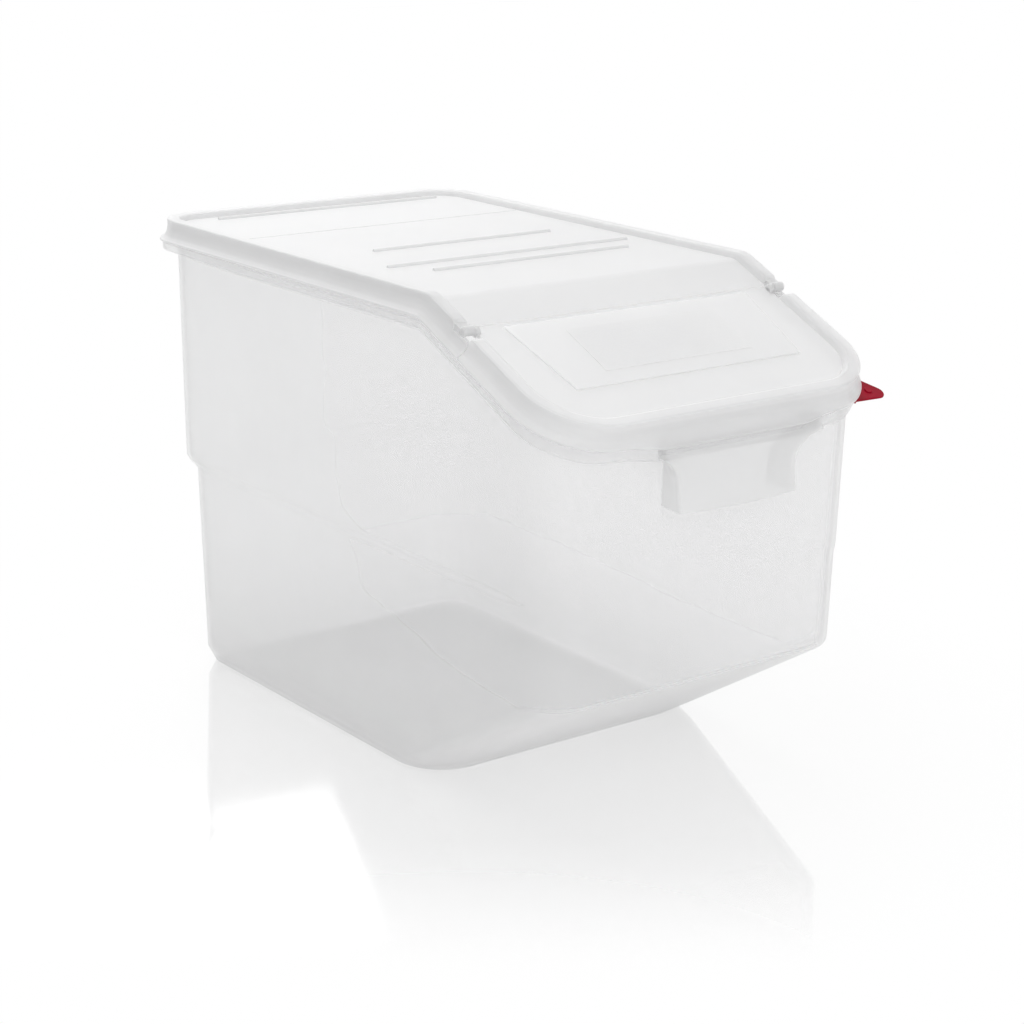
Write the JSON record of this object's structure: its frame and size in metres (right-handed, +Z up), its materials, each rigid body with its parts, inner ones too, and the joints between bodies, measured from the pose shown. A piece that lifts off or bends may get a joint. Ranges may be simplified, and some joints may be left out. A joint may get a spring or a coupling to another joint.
{
  "type": "rice bin with flip lid",
  "caption": "Tapered frosted plastic ingredient bin with a kicked-up front, a fixed rear lid, a flap hinged on the sloping front, a pull hood, a blank label and a colour clip",
  "frame": {"origin": "on the floor, under the middle of the lid", "axes": "+X to the right seen from the front, the flap and the pull hood face -Y, +Z up"},
  "size_m": [0.3119, 0.5399, 0.36],
  "materials": {
    "tub_plastic": "frosted translucent polypropylene",
    "lid_plastic": "frosted translucent polypropylene",
    "flap_plastic": "frosted translucent polypropylene",
    "label_film": "matt write-on film",
    "clip_plastic": "satin moulded"
  },
  "bodies": {
    "tub": {"tub": "tub_plastic"},
    "lid": {"rear_lid": "lid_plastic"},
    "flap": {"flip_flap": "flap_plastic", "write_on_label": "label_film"},
    "clip": {"colour_clip": "clip_plastic"}
  },
  "joints": [
    {"name": "lid_lift", "type": "slide", "parent": "tub", "child": "lid", "axis": [0, 0, 1], "range_m": [0, 0.12]},
    {"name": "flap_hinge", "type": "hinge", "parent": "lid", "child": "flap", "pos_m": [0, -0.15327, 0.34023], "axis": [-1, 0, 0], "range_deg": [0, 145]},
    {"name": "clip_pull", "type": "slide", "parent": "tub", "child": "clip", "axis": [0, 0.4067, -0.9135], "range_m": [0, 0.0021]}
  ]
}
